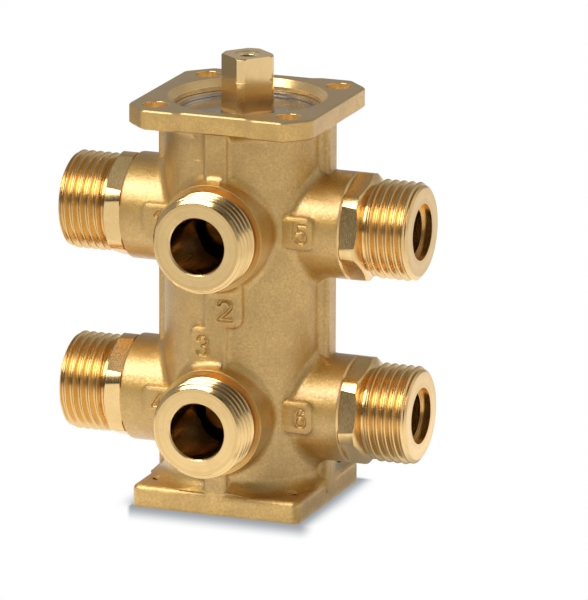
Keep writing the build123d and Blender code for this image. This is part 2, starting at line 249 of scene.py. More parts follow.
def build_grain_group():
    """Blasted or cast skin: fine pits, coarser bumps and slow patches"""
    tree, inside, out = new_group(
        "blast_grain", "ShaderNodeTree",
        [("Vector", "NodeSocketVector", None), ("Grain", "NodeSocketFloat", 3200.0),
         ("Bumps", "NodeSocketFloat", 900.0), ("Patches", "NodeSocketFloat", 90.0)],
        [("Height", "NodeSocketFloat"), ("Speck", "NodeSocketFloat"), ("Patch", "NodeSocketFloat")])
    vector = inside.outputs["Vector"]
    pits = node(tree, "ShaderNodeTexVoronoi", {"Vector": vector, "Scale": inside.outputs["Grain"]})
    fine = noise(tree, vector, inside.outputs["Grain"], 2.0, 0.6)
    coarse = noise(tree, vector, inside.outputs["Bumps"], 3.0, 0.55)
    patch = noise(tree, vector, inside.outputs["Patches"], 4.0, 0.6)
    # Each layer's share of the relief, beside the fine grain's share of 1
    height = fine
    for layer, share in ((pits.outputs["Distance"], 0.55), (coarse, 1.2), (patch, 3.0)):
        height = calc(tree, "ADD", calc(tree, "MULTIPLY", layer, share), height)
    tree.links.new(calc(tree, "MULTIPLY", height, 0.45), out.inputs["Height"])
    tree.links.new(remap(tree, fine, 0.3, 0.7, 0.0, 1.0), out.inputs["Speck"])
    tree.links.new(remap(tree, patch, 0.35, 0.65, 0.0, 1.0, True), out.inputs["Patch"])


def build_rings_group():
    """Turning marks about an axis: rings on faces, grooves along cylinders"""
    tree, inside, out = new_group(
        "turning_marks", "ShaderNodeTree",
        [("Vector", "NodeSocketVector", None), ("Axis", "NodeSocketVector", (1.0, 0.0, 0.0)),
         ("Middle", "NodeSocketFloat", ROW_MIDDLE * MM), ("Half", "NodeSocketFloat", ROW_HALF * MM),
         ("Marks", "NodeSocketFloat", 4200.0)],
        [("Height", "NodeSocketFloat"), ("Tone", "NodeSocketFloat"), ("Smudge", "NodeSocketFloat")])
    parts = node(tree, "ShaderNodeSeparateXYZ", {0: inside.outputs["Vector"]})
    rise = calc(tree, "ABSOLUTE", calc(tree, "SUBTRACT", parts.outputs[2], inside.outputs["Middle"]))
    rise = calc(tree, "SUBTRACT", rise, inside.outputs["Half"])
    folded = node(tree, "ShaderNodeCombineXYZ", {0: parts.outputs[0], 1: parts.outputs[1], 2: rise})
    across = node(tree, "ShaderNodeVectorMath", {0: folded.outputs[0], 1: inside.outputs["Axis"]},
                  operation="CROSS_PRODUCT")
    radius = node(tree, "ShaderNodeVectorMath", {0: across.outputs[0]}, operation="LENGTH")
    along = node(tree, "ShaderNodeVectorMath", {0: folded.outputs[0], 1: inside.outputs["Axis"]},
                 operation="DOT_PRODUCT")
    place = calc(tree, "ADD", radius.outputs["Value"], along.outputs["Value"])
    place = calc(tree, "MULTIPLY", place, inside.outputs["Marks"])
    marks = node(tree, "ShaderNodeTexNoise", {"W": place, "Scale": 1.0, "Detail": 3.0, "Roughness": 0.65},
                 noise_dimensions="1D")
    broad = node(tree, "ShaderNodeTexNoise",
                 {"W": calc(tree, "MULTIPLY", place, 0.22), "Scale": 1.0, "Detail": 2.0, "Roughness": 0.5},
                 noise_dimensions="1D")
    smudge = noise(tree, inside.outputs["Vector"], 260.0, 4.0, 0.6)
    tree.links.new(marks.outputs["Fac"], out.inputs["Height"])
    tree.links.new(remap(tree, broad.outputs["Fac"], 0.3, 0.7, 0.0, 1.0), out.inputs["Tone"])
    tree.links.new(remap(tree, smudge, 0.4, 0.7, 0.0, 1.0, True), out.inputs["Smudge"])


def build_edge_group():
    """Rounded normal near edges, and a mask of the worn rim"""
    tree, inside, out = new_group(
        "edge_wear", "ShaderNodeTree",
        [("Radius", "NodeSocketFloat", 0.25 * MM), ("Vector", "NodeSocketVector", None)],
        [("Mask", "NodeSocketFloat"), ("Normal", "NodeSocketVector")])
    rounded = node(tree, "ShaderNodeBevel", {"Radius": inside.outputs["Radius"]}, samples=8)
    geometry = node(tree, "ShaderNodeNewGeometry")
    turn = node(tree, "ShaderNodeVectorMath", {0: rounded.outputs[0], 1: geometry.outputs["Normal"]},
                operation="DOT_PRODUCT")
    mask = remap(tree, turn.outputs["Value"], 0.985, 0.8, 0.0, 1.0)
    broken = remap(tree, noise(tree, inside.outputs["Vector"], 700.0, 3.0, 0.6), 0.3, 0.6, 0.35, 1.0)
    tree.links.new(calc(tree, "MULTIPLY", mask, broken), out.inputs["Mask"])
    tree.links.new(rounded.outputs[0], out.inputs["Normal"])


# Materials

def new_material(name):
    """An empty material with a Principled shader, and its Object coordinates"""
    made = bpy.data.materials.new(name + FINISH_ENDING)
    made.use_nodes = True
    tree = made.node_tree
    shader = tree.nodes["Principled BSDF"]
    place = node(tree, "ShaderNodeTexCoord").outputs["Object"]
    return made, tree, shader, place


def rgba(colour):
    """A colour with full alpha"""
    return (*colour, 1.0)


def scaled(colour, factor):
    """A colour made lighter or darker, held under 1"""
    return [min(1.0, channel * factor) for channel in colour]


def add_relief(tree, shader, strength, distance, height, normal=None):
    """Sets the shader's normal from a bump"""
    relief = node(tree, "ShaderNodeBump",
                  {"Strength": strength, "Distance": distance, "Height": height, "Normal": normal})
    set_input(tree, shader.inputs["Normal"], relief.outputs[0])


# Where the forging's edge radius is wide: two places in millimetres, and the share at each
MIDDLE_PADS_ASIDE = (6.5, 8.0, 1.0, 0.0)
MIDDLE_PADS_RISE = (9.0, 10.5, 1.0, 0.0)
SIDE_PADS_INSIDE = (11.0, 12.0, 0.0, 1.0)
SIDE_PADS_OUTSIDE = (20.0, 21.5, 1.0, 0.0)
SIDE_PADS_RISE = (4.2, 5.5, 1.0, 0.0)
PADS_FRONT = (-10.0, -8.5, 1.0, 0.0)
FOOT_TOP = (5.5, 7.0, 0.8, 0.0)


def fade(tree, value, ends):
    """A share that changes between two places in millimetres"""
    first, second, share, last_share = ends
    return remap(tree, value, first * MM, second * MM, share, last_share)


def pad_radius(tree, place, plain, wide):
    """Edge radius of the forging: plain, and wide around the label pads and on the foot"""
    parts = node(tree, "ShaderNodeSeparateXYZ", {0: place})
    aside = calc(tree, "ABSOLUTE", parts.outputs[0])
    rise = calc(tree, "ABSOLUTE", calc(tree, "SUBTRACT", parts.outputs[2], ROW_MIDDLE * MM))
    from_row = calc(tree, "ABSOLUTE", calc(tree, "SUBTRACT", rise, ROW_HALF * MM))
    middle = calc(tree, "MULTIPLY", fade(tree, aside, MIDDLE_PADS_ASIDE),
                  fade(tree, rise, MIDDLE_PADS_RISE))
    sides = calc(tree, "MULTIPLY", fade(tree, aside, SIDE_PADS_INSIDE),
                 calc(tree, "MULTIPLY", fade(tree, aside, SIDE_PADS_OUTSIDE),
                      fade(tree, from_row, SIDE_PADS_RISE)))
    pads = calc(tree, "MULTIPLY", calc(tree, "MAXIMUM", middle, sides),
                fade(tree, parts.outputs[1], PADS_FRONT))
    share = calc(tree, "MAXIMUM", pads, fade(tree, parts.outputs[2], FOOT_TOP))
    return remap(tree, share, 0.0, 1.0, plain, wide)


def blasted_material(name, light, shade, roughness=(0.42, 0.58), grain=2100.0, bump=0.00015, wear=0.12,
                     radius=0.8 * MM, wide=2.2 * MM):
    """Shot-blasted forged brass"""
    made, tree, shader, place = new_material(name)
    radius = pad_radius(tree, place, radius, wide)
    skin = use_group(tree, "blast_grain", Vector=place, Grain=grain, Bumps=grain * 0.4, Patches=170.0)
    edge = use_group(tree, "edge_wear", Radius=radius, Vector=place)
    tone = mix_colour(tree, skin.outputs["Patch"], rgba(shade), rgba(light))
    blotch = remap(tree, noise(tree, place, 480.0, 3.0, 0.6), 0.5, 0.72, 0.0, 0.4, True)
    tone = mix_colour(tree, blotch, tone, rgba(scaled(shade, 0.86)))
    specks = calc(tree, "MULTIPLY", skin.outputs["Speck"], 0.7)
    tone = mix_colour(tree, specks, tone, rgba(scaled(shade, 0.82)))
    worn = calc(tree, "MULTIPLY", edge.outputs["Mask"], wear)
    tone = mix_colour(tree, worn, tone, rgba(scaled(light, 1.12)))
    set_input(tree, shader.inputs["Base Color"], tone)
    rough = remap(tree, skin.outputs["Speck"], 0.0, 1.0, *roughness)
    rough = calc(tree, "SUBTRACT", rough, calc(tree, "MULTIPLY", worn, 0.25))
    set_input(tree, shader.inputs["Roughness"], rough)
    coat = {"Metallic": 1.0, "Coat Weight": 0.8, "Coat IOR": 1.85, "Coat Roughness": 0.32}
    for label, value in coat.items():
        shader.inputs[label].default_value = value
    add_relief(tree, shader, 0.65, bump, skin.outputs["Height"], edge.outputs["Normal"])
    return made


def turned_material(name, light, shade, axis, half=ROW_HALF * MM, roughness=(0.13, 0.22), bump=0.000004,
                    marks=4200.0, radius=0.15 * MM, thread=0.0, metallic=1.0):
    """Brass or steel off the lathe, with rings about its axis; thread is how much painted shade darkens the
    thread's grooves
    """
    made, tree, shader, place = new_material(name)
    rings = use_group(tree, "turning_marks", Vector=place, Axis=axis, Half=half, Marks=marks)
    edge = use_group(tree, "edge_wear", Radius=radius, Vector=place)
    tone = mix_colour(tree, calc(tree, "MULTIPLY", rings.outputs["Tone"], 0.6), rgba(light), rgba(shade))
    smudge = calc(tree, "MULTIPLY", rings.outputs["Smudge"], 0.25)
    tone = mix_colour(tree, smudge, tone, rgba(scaled(shade, 0.85)))
    worn = calc(tree, "MULTIPLY", edge.outputs["Mask"], 0.4)
    tone = mix_colour(tree, worn, tone, rgba(scaled(light, 1.08)))
    # Painted shade in the thread's roots, darker where the crest is low
    if thread:
        crest = node(tree, "ShaderNodeAttribute", attribute_name="crest").outputs["Fac"]
        groove_shade = remap(tree, crest, 0.0, 0.4, thread, 0.0, True)
        tone = mix_colour(tree, groove_shade, tone, rgba(scaled(shade, 0.3)))
    set_input(tree, shader.inputs["Base Color"], tone)
    rough = remap(tree, rings.outputs["Height"], 0.3, 0.7, *roughness)
    rough = calc(tree, "ADD", rough, calc(tree, "MULTIPLY", rings.outputs["Smudge"], 0.05))
    set_input(tree, shader.inputs["Roughness"], rough)
    shader.inputs["Metallic"].default_value = metallic
    add_relief(tree, shader, 0.5, bump, rings.outputs["Height"], edge.outputs["Normal"])
    return made


def milled_material(name, light, shade, stretch, roughness, bump, scale, radius=0.2 * MM, contrast=0.7,
                    metallic=1.0):
    """A milled or drawn flat with fine lines one way"""
    made, tree, shader, place = new_material(name)
    lines = node(tree, "ShaderNodeMapping", {"Vector": place, "Scale": stretch})
    fine = noise(tree, lines.outputs[0], scale, 3.0, 0.65)
    skin = use_group(tree, "blast_grain", Vector=place, Grain=2600.0, Bumps=700.0, Patches=180.0)
    edge = use_group(tree, "edge_wear", Radius=radius, Vector=place)
    tone = mix_colour(tree, remap(tree, fine, 0.35, 0.65, 0.0, contrast), rgba(light), rgba(shade))
    patches = calc(tree, "MULTIPLY", skin.outputs["Patch"], 0.3)
    tone = mix_colour(tree, patches, tone, rgba(scaled(shade, 0.9)))
    worn = calc(tree, "MULTIPLY", edge.outputs["Mask"], 0.5)
    tone = mix_colour(tree, worn, tone, rgba(scaled(light, 1.12)))
    set_input(tree, shader.inputs["Base Color"], tone)
    set_input(tree, shader.inputs["Roughness"], remap(tree, fine, 0.3, 0.7, *roughness))
    shader.inputs["Metallic"].default_value = metallic
    height = calc(tree, "ADD", fine, calc(tree, "MULTIPLY", skin.outputs["Height"], 0.5))
    add_relief(tree, shader, 0.5, bump, height, edge.outputs["Normal"])
    return made


def soft_material(name, light, shade, roughness, grain, bump):
    """Rubber or plastic with a faint moulded grain"""
    made, tree, shader, place = new_material(name)
    skin = use_group(tree, "blast_grain", Vector=place, Grain=grain, Bumps=grain * 0.3, Patches=200.0)
    set_input(tree, shader.inputs["Base Color"],
              mix_colour(tree, skin.outputs["Patch"], rgba(light), rgba(shade)))
    set_input(tree, shader.inputs["Roughness"],
              remap(tree, skin.outputs["Speck"], 0.0, 1.0, roughness, roughness + 0.12))
    add_relief(tree, shader, 0.4, bump, skin.outputs["Height"])
    return made


def material(name):
    """A finish made by the finishes operator"""
    found = bpy.data.materials.get(name + FINISH_ENDING)
    if found is None:
        raise RuntimeError(f"run the finishes first, there is no {name}")
    return found


# Meshes

# Angle in degrees past which an edge stays sharp, and the distances that join loose triangles, in millimetres
SHARP_ANGLE = 30.0
JOIN_DISTANCE = 0.0015
SLIVER_DISTANCE = 0.0005


def add_piece(name, mesh, body):
    """Links a mesh at the origin and ties it to its body"""
    piece = bpy.data.objects.new(name, mesh)
    bpy.context.scene.collection.objects.link(piece)
    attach(piece, body)
    return piece


def merged_grid(node_name):
    """A CAD node's mesh as an editable grid, its loose triangles joined, in millimetres"""
    grid = bmesh.new()
    grid.from_mesh(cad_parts[node_name].data)
    bmesh.ops.scale(grid, vec=(1 / MM,) * 3, verts=grid.verts)
    bmesh.ops.remove_doubles(grid, verts=grid.verts, dist=JOIN_DISTANCE)
    bmesh.ops.dissolve_degenerate(grid, edges=grid.edges, dist=SLIVER_DISTANCE)
    return grid


def finished_mesh(name, grid, finishes):
    """Turns an edited grid into a smooth mesh in metres with its material slots"""
    bmesh.ops.scale(grid, vec=(MM,) * 3, verts=grid.verts)
    mesh = bpy.data.meshes.new(name)
    grid.to_mesh(mesh)
    grid.free()
    for layer in ("custom_normal", "sharp_face"):
        if layer in mesh.attributes:
            mesh.attributes.remove(mesh.attributes[layer])
    for finish in finishes:
        mesh.materials.append(material(finish))
    mesh.shade_smooth()
    mesh.set_sharp_from_angle(angle=math.radians(SHARP_ANGLE))
    return mesh


def evaluated_mesh(piece):
    """A plain mesh of a piece with its modifiers"""
    graph = bpy.context.evaluated_depsgraph_get()
    return bpy.data.meshes.new_from_object(piece.evaluated_get(graph), depsgraph=graph)


def weighted_normals(piece):
    """Large faces lead the shading, so flats stay flat beside their fillets"""
    modifier = piece.modifiers.new("normals", "WEIGHTED_NORMAL")
    modifier.keep_sharp = True
    modifier.weight = 50
    mesh = evaluated_mesh(piece)
    mesh.name = piece.name
    piece.modifiers.remove(modifier)
    piece.data = mesh


def draw_in_cylinder(grid, along, across, height, near, far, major):
    """Draws a port's plain cylinder in, under the cut thread that covers it; along and across are axes"""
    for vert in grid.verts:
        radial = Vector((vert.co[across], vert.co.z - height))
        if abs(radial.length - major) < CYLINDER_MARGIN and near < abs(vert.co[along]) < far:
            radial *= DRAWN_IN_RADIUS / radial.length
            vert.co[across] = radial.x
            vert.co.z = radial.y + height


# Thread, as a Geometry Nodes tree

# Where a thread runs on its port, in millimetres from the body's axis, and how it starts at the shoulder
FRONT_THREAD = {"start": 21.7, "end": 29.1, "relief_radius": 9.7, "slope": 0.7}
SIDE_THREAD = {"start": 29.7, "end": 39.4, "relief_radius": 9.25, "slope": 0.5}
# The part of a port's plain cylinder that is drawn in, from the body's axis
FRONT_CYLINDER = (21.6, 28.4)
SIDE_CYLINDER = (30.1, 38.7)
# How far a point may lie off that cylinder, and the radius it is drawn in to
CYLINDER_MARGIN = 0.03
DRAWN_IN_RADIUS = 9.0
# Inside radius of a thread's sleeve, and how far its closing rows stand in from the ends
SLEEVE_RADIUS = 8.6
SLEEVE_TUCK = 0.3

THREAD_INPUTS = [
    ("Segments", "NodeSocketInt"), ("Rows", "NodeSocketInt"), ("Start", "NodeSocketFloat"),
    ("End", "NodeSocketFloat"), ("Major Radius", "NodeSocketFloat"), ("Depth", "NodeSocketFloat"),
    ("Pitch", "NodeSocketFloat"), ("Face Radius", "NodeSocketFloat"), ("Chamfer", "NodeSocketFloat"),
    ("Relief Radius", "NodeSocketFloat"), ("Slope", "NodeSocketFloat"), ("Core Radius", "NodeSocketFloat"),
    ("Tuck", "NodeSocketFloat"), ("Finish", "NodeSocketMaterial"),
]


def build_thread_tree():
    """A closed sleeve about Z whose outside follows a rounded 55 degree thread"""
    tree = bpy.data.node_groups.new("pipe_thread", "GeometryNodeTree")
    tree.interface.new_socket(name="Geometry", in_out="INPUT", socket_type="NodeSocketGeometry")
    for label, socket_type in THREAD_INPUTS:
        tree.interface.new_socket(name=label, in_out="INPUT", socket_type=socket_type)
    tree.interface.new_socket(name="Geometry", in_out="OUTPUT", socket_type="NodeSocketGeometry")
    inside = tree.nodes.new("NodeGroupInput").outputs
    out = tree.nodes.new("NodeGroupOutput")
    last_row = calc(tree, "ADD", inside["Rows"], 3.0)
    grid = node(tree, "GeometryNodeMeshGrid",
                {"Size X": 1.0, "Size Y": 1.0,
                 "Vertices X": calc(tree, "ADD", inside["Segments"], 1.0),
                 "Vertices Y": calc(tree, "ADD", last_row, 1.0)})
    corner = node(tree, "ShaderNodeSeparateXYZ", {0: node(tree, "GeometryNodeInputPosition").outputs[0]})
    turn = calc(tree, "ADD", corner.outputs[0], 0.5)
    row = calc(tree, "ROUND", calc(tree, "MULTIPLY", calc(tree, "ADD", corner.outputs[1], 0.5), last_row))
    share = calc(tree, "DIVIDE", calc(tree, "SUBTRACT", row, 1.0), inside["Rows"])
    share = calc(tree, "MINIMUM", calc(tree, "MAXIMUM", share, 0.0), 1.0)
    length = calc(tree, "SUBTRACT", inside["End"], inside["Start"])
    along = calc(tree, "ADD", inside["Start"], calc(tree, "MULTIPLY", share, length))
    # Crest height: a triangle wave with its points rounded off
    wave = calc(tree, "FRACT", calc(tree, "SUBTRACT", calc(tree, "DIVIDE", along, inside["Pitch"]), turn))
    wave = calc(tree, "ABSOLUTE", calc(tree, "SUBTRACT", calc(tree, "MULTIPLY", wave, 2.0), 1.0))
    wave = calc(tree, "SUBTRACT", 1.0, wave)
    crest = calc(tree, "POWER", remap(tree, wave, 0.0, 1.0, 0.0, 1.0, True), 1.5)
    root = calc(tree, "SUBTRACT", inside["Major Radius"], inside["Depth"])
    radius = calc(tree, "ADD", root, calc(tree, "MULTIPLY", crest, inside["Depth"]))
    # The lead-in chamfer at the face and the run-out at the shoulder cut the thread off
    to_face = calc(tree, "DIVIDE", calc(tree, "SUBTRACT", inside["End"], along), inside["Chamfer"])
    face_rise = calc(tree, "SUBTRACT", inside["Major Radius"], inside["Face Radius"])
    lead_in = calc(tree, "ADD", inside["Face Radius"], calc(tree, "MULTIPLY", to_face, face_rise))
    from_start = calc(tree, "DIVIDE", calc(tree, "SUBTRACT", along, inside["Start"]), inside["Slope"])
    relief_rise = calc(tree, "SUBTRACT", inside["Major Radius"], inside["Relief Radius"])
    run_out = calc(tree, "ADD", inside["Relief Radius"], calc(tree, "MULTIPLY", from_start, relief_rise))
    radius = calc(tree, "MINIMUM", radius, calc(tree, "MINIMUM", lead_in, run_out))
    # The first row and the last two close the sleeve on its inner side
    first = calc(tree, "LESS_THAN", row, 0.5)
    closing = calc(tree, "GREATER_THAN", row, calc(tree, "ADD", inside["Rows"], 2.5))
    turning = calc(tree, "GREATER_THAN", row, calc(tree, "ADD", inside["Rows"], 1.5))
    core = calc(tree, "MAXIMUM", first, turning)
    radius = calc(tree, "ADD", calc(tree, "MULTIPLY", radius, calc(tree, "SUBTRACT", 1.0, core)),
                  calc(tree, "MULTIPLY", core, inside["Core Radius"]))
    back_start = calc(tree, "ADD", inside["Start"], inside["Tuck"])
    near_end = calc(tree, "SUBTRACT", inside["End"], inside["Tuck"])
    at_start = calc(tree, "MAXIMUM", first, closing)
    at_end = calc(tree, "SUBTRACT", turning, closing)
    plain = calc(tree, "SUBTRACT", 1.0, calc(tree, "ADD", at_start, at_end))
    along = calc(tree, "ADD", calc(tree, "MULTIPLY", along, plain),
                 calc(tree, "ADD", calc(tree, "MULTIPLY", at_start, back_start),
                      calc(tree, "MULTIPLY", at_end, near_end)))
    angle = calc(tree, "MULTIPLY", turn, math.tau)
    place = node(tree, "ShaderNodeCombineXYZ",
                 {0: calc(tree, "MULTIPLY", radius, calc(tree, "COSINE", angle)),
                  1: calc(tree, "MULTIPLY", radius, calc(tree, "SINE", angle)), 2: along})
    marked = node(tree, "GeometryNodeStoreNamedAttribute",
                  {"Geometry": grid.outputs[0], "Name": "crest", "Value": crest},
                  data_type="FLOAT", domain="POINT")
    placed = node(tree, "GeometryNodeSetPosition",
                  {"Geometry": marked.outputs[0], "Position": place.outputs[0]})
    merged = node(tree, "GeometryNodeMergeByDistance",
                  {"Geometry": placed.outputs[0], "Distance": 0.0000005})
    smooth = node(tree, "GeometryNodeSetShadeSmooth", {"Geometry": merged.outputs[0]})
    real = node(tree, "GeometryNodeRealizeInstances", {"Geometry": smooth.outputs[0]})
    finish = node(tree, "GeometryNodeSetMaterial",
                  {"Geometry": real.outputs[0], "Material": inside["Finish"]})
    tree.links.new(finish.outputs[0], out.inputs[0])
    return tree


def thread_mesh(name, sizes, run, finish, placing):
    """One thread sleeve, made along Z by the tree and then put in its place"""
    start, end, relief_radius, slope = (run[key] * MM for key in ("start", "end", "relief_radius", "slope"))
    tree = bpy.data.node_groups.get("pipe_thread") or build_thread_tree()
    carrier = bpy.data.objects.new(name, bpy.data.meshes.new(name))
    bpy.context.scene.collection.objects.link(carrier)
    modifier = carrier.modifiers.new("thread", "NODES")
    modifier.node_group = tree
    rows = int(round((end - start) / sizes.pitch * sizes.steps))
    values = {
        "Segments": sizes.segments, "Rows": rows, "Start": start, "End": end,
        "Major Radius": sizes.major_radius, "Depth": sizes.depth, "Pitch": sizes.pitch,
        "Face Radius": sizes.face_radius, "Chamfer": sizes.chamfer, "Relief Radius": relief_radius,
        "Slope": slope, "Core Radius": SLEEVE_RADIUS * MM, "Tuck": SLEEVE_TUCK * MM,
        "Finish": material(finish),
    }
    identifiers = {item.name: item.identifier for item in tree.interface.items_tree
                   if item.item_type == "SOCKET" and item.in_out == "INPUT"}
    for label, value in values.items():
        modifier[identifiers[label]] = value
    mesh = evaluated_mesh(carrier)
    bpy.data.objects.remove(carrier)
    mesh.name = name
    mesh.transform(placing)
    if not mesh.polygons:
        raise RuntimeError(f"the thread {name} has no faces")
    return mesh


def port_placing(side, height):
    """Turns a piece made along Z so that it points out of a port"""
    lift = Matrix.Translation((0.0, 0.0, height * MM))
    if side == "front":
        return lift @ Matrix.Rotation(math.pi / 2, 4, "X")
    turn = Matrix.Rotation(math.pi / 2, 4, "Y")
    if side == -1:
        turn = Matrix.Rotation(math.pi, 4, "Z") @ turn
    return lift @ turn


# Port numbers, sunk into the label pads

def arc(centre, radii, start, stop, count=24):
    """Points on an ellipse's arc, degrees anticlockwise from the right"""
    turns = np.radians(np.linspace(start, stop, count))
    return [(centre[0] + radii[0] * math.cos(t), centre[1] + radii[1] * math.sin(t)) for t in turns]


NUMBERS = {
    "1": [[(-0.3, 0.28), (0.1, 0.5), (0.1, -0.5)]],
    "2": [arc((0.0, 0.2), (0.46, 0.3), 165, -20) + [(0.22, -0.08), (-0.46, -0.5), (0.48, -0.5)]],
    "3": [arc((-0.02, 0.25), (0.42, 0.25), 160, -90) + arc((-0.02, -0.25), (0.46, 0.25), 90, -160)],
    "4": [[(0.2, -0.5), (0.2, 0.5), (-0.48, -0.18), (0.48, -0.18)]],
    "5": [[(0.42, 0.5), (-0.36, 0.5), (-0.42, 0.06)] + arc((-0.02, -0.18), (0.46, 0.32), 125, -150)],
    "6": [arc((0.02, 0.0), (0.46, 0.5), 55, 180) + arc((0.0, -0.2), (0.44, 0.3), 180, 540, 40)],
}

NUMBER_FIELDS = [
    # Text, y of the pad's face, centre (x, z), size (width, height), field across (x) and upright (z)
    ("2", -18.9, (2.33, 45.12), (2.95, 4.3), (0.1, 4.55), (42.3, 47.4)),
    ("3", -18.9, (-2.6, 36.85), (2.5, 4.05), (-4.6, -0.6), (34.56, 39.6)),
    ("5", -12.4, (16.76, 61.26), (2.4, 3.8), (14.9, 18.2), (58.6, 64.0)),
    ("6", -12.4, (16.76, 21.26), (2.4, 3.8), (14.9, 18.2), (18.6, 24.0)),
    ("1", -12.4, (-15.3, 61.26), (2.0, 3.8), (-17.0, -13.7), (58.6, 64.0)),
    ("4", -12.4, (-15.4, 21.26), (2.4, 3.8), (-17.1, -13.7), (18.6, 24.0)),
]


# How far a pad may reach past a field (across, upright), and the gap between window and field
PAD_REACH = (8, 12)
WINDOW_MARGIN = 0.12
# The ridge's place in half strokes, its width, and the flat border of a field
RIDGE_PLACE = 1.25
RIDGE_WIDTH = 0.14
FIELD_BORDER = 0.25


def distance_to_strokes(points, strokes):
    """Distance of each point to the nearest stroke"""
    nearest = np.full(len(points), 1e9)
    for stroke in strokes:
        corners = np.array(stroke)
        for a, b in zip(corners[:-1], corners[1:]):
            run = b - a
            share = np.clip(((points - a) @ run) / max(run @ run, 1e-12), 0.0, 1.0)
            gap = np.linalg.norm(points - (a + share[:, None] * run), axis=1)
            nearest = np.minimum(nearest, gap)
    return nearest


def cut_window(grid, text, level, across, upright):
    """Opens a window in a flat pad, a little wider than the number's field, and returns its rim"""
    flat = [face for face in grid.faces
            if face.normal.y < -0.99 and all(abs(v.co.y - level) < 0.004 for v in face.verts)
            and across[0] - PAD_REACH[0] < face.calc_center_median().x < across[1] + PAD_REACH[0]
            and upright[0] - PAD_REACH[1] < face.calc_center_median().z < upright[1] + PAD_REACH[1]]
    if not flat:
        raise RuntimeError(f"no flat pad for number {text}")
    left, right = across[0] - WINDOW_MARGIN, across[1] + WINDOW_MARGIN
    low, high = upright[0] - WINDOW_MARGIN, upright[1] + WINDOW_MARGIN
    faces = set(flat)
    for place, direction in (((left, 0, 0), (1, 0, 0)), ((right, 0, 0), (1, 0, 0)),
                             ((0, 0, low), (0, 0, 1)), ((0, 0, high), (0, 0, 1))):
        edges = {edge for face in faces for edge in face.edges}
        verts = {vert for face in faces for vert in face.verts}
        result = bmesh.ops.bisect_plane(grid, geom=[*faces, *edges, *verts], dist=1e-5,
                                        plane_co=place, plane_no=direction)
        faces = {item for item in result["geom"] if isinstance(item, bmesh.types.BMFace) and item.is_valid}
    inside = [face for face in faces
              if left < face.calc_center_median().x < right and low < face.calc_center_median().z < high]
    if not inside:
        raise RuntimeError(f"no window for number {text}")
    rim = {edge for face in inside for edge in face.edges
           if sum(other in inside for other in edge.link_faces) == 1}
    bmesh.ops.delete(grid, geom=inside, context="FACES_ONLY")
    loose = [edge for edge in grid.edges if not edge.link_faces and edge not in rim]
    bmesh.ops.delete(grid, geom=loose, context="EDGES")
    return [edge for edge in rim if edge.is_valid]


def number_depths(sizes, text, centre, size, across, upright, points):
    """How far each point of a field lies under its pad, with the ridge beside the strokes"""
    strokes = [[(centre[0] + x * size[0], centre[1] + z * size[1]) for x, z in stroke]
               for stroke in NUMBERS[text]]
    gap = distance_to_strokes(points, strokes)
    half = sizes.stroke / MM
    share = np.clip(1.0 - gap / half, 0.0, 1.0)
    sunk = sizes.depth / MM * np.sin(share * math.pi / 2)
    pushed = sizes.ridge / MM * np.exp(-(((gap - half * RIDGE_PLACE) / RIDGE_WIDTH) ** 2))
    border = np.minimum.reduce([points[:, 0] - across[0], across[1] - points[:, 0],
                                points[:, 1] - upright[0], upright[1] - points[:, 1]])
    return (sunk - pushed) * np.clip(border / FIELD_BORDER, 0.0, 1.0)


def sink_number(grid, sizes, text, level, centre, size, across, upright):
    """Fills a window in a flat pad with a fine field that holds the number"""
    rim = cut_window(grid, text, level, across, upright)
    cell = sizes.cell / MM
    columns = max(8, int((across[1] - across[0]) / cell))
    rows = max(8, int((upright[1] - upright[0]) / cell))
    xs = np.linspace(*across, columns + 1)
    zs = np.linspace(*upright, rows + 1)
    points = np.array([(x, z) for z in zs for x in xs])
    depths = number_depths(sizes, text, centre, size, across, upright, points)
    verts = [grid.verts.new((x, level + depth, z)) for (x, z), depth in zip(points, depths)]
    wide = columns + 1
    for row in range(rows):
        for column in range(columns):
            a = row * wide + column
            face = grid.faces.new((verts[a], verts[a + 1], verts[a + 1 + wide], verts[a + wide]))
            face.smooth = True
    outer = [verts[column] for column in range(columns + 1)]
    outer += [verts[row * wide + columns] for row in range(1, rows + 1)]
    outer += [verts[rows * wide + column] for column in range(columns - 1, -1, -1)]
    outer += [verts[row * wide] for row in range(rows - 1, 0, -1)]
    loop = [grid.edges.get((a, b)) for a, b in zip(outer, outer[1:] + outer[:1])]
    filled = bmesh.ops.triangle_fill(grid, use_beauty=True, edges=rim + loop, normal=(0, -1, 0))
    for face in [item for item in filled["geom"] if isinstance(item, bmesh.types.BMFace)]:
        face.normal_update()
        if face.normal.y > 0:
            face.normal_flip()
    grid.normal_update()


# Finish zones of the forging, the fittings and the stem

BODY_FINISHES = ["forged_brass", "front_turned_brass", "flange_milled_brass", "bored_brass",
                 "side_cut_brass", "label_brass", "recess_brass", "hole_brass", "rim_brass",
                 "collar_brass"]
FITTING_FINISHES = ["side_turned_brass", "hexagon_brass", "bore_brass"]

# Limits of the machined zones, in millimetres. Front ports: y of the turned length and of the collar's face
FRONT_CUT, FRONT_COLLAR, FRONT_CUT_RADIUS = -21.75, -21.65, 11.55
# Side bosses: x of the cut end
SIDE_CUT, SIDE_CUT_RADIUS = 24.35, 11.45
# Bores behind the ports
FRONT_BORE_RADIUS = 6.35
SIDE_BORE_RADIUS, SIDE_BORE_END = 9.9, 25
# Flange: heights of its top and sides, its bolt holes and the cone of its recess
FLANGE_TOP, FLANGE_SIDE, FLANGE_SIDE_RADIUS = 86.65, 82.85, 19.0
BOLT_PLACE, BOLT_HOLE_RADIUS, BOLT_HOLE_BOTTOM = 21.0 / math.sqrt(2), 2.9, 82.7
RECESS_RADIUS, RECESS_CONE = 16.87, 84.6
# The bore down the column, its chamber and the groove of the retaining ring
BORE_RADIUS, BORE_BOTTOM, BORE_FRONT = 17.4, 5.5, -18.0
CHAMBER_RADIUS, CHAMBER_TOP = 15.6, 73.0
GROOVE_RADIUS, GROOVE_BOTTOM = 16.9, 82.0
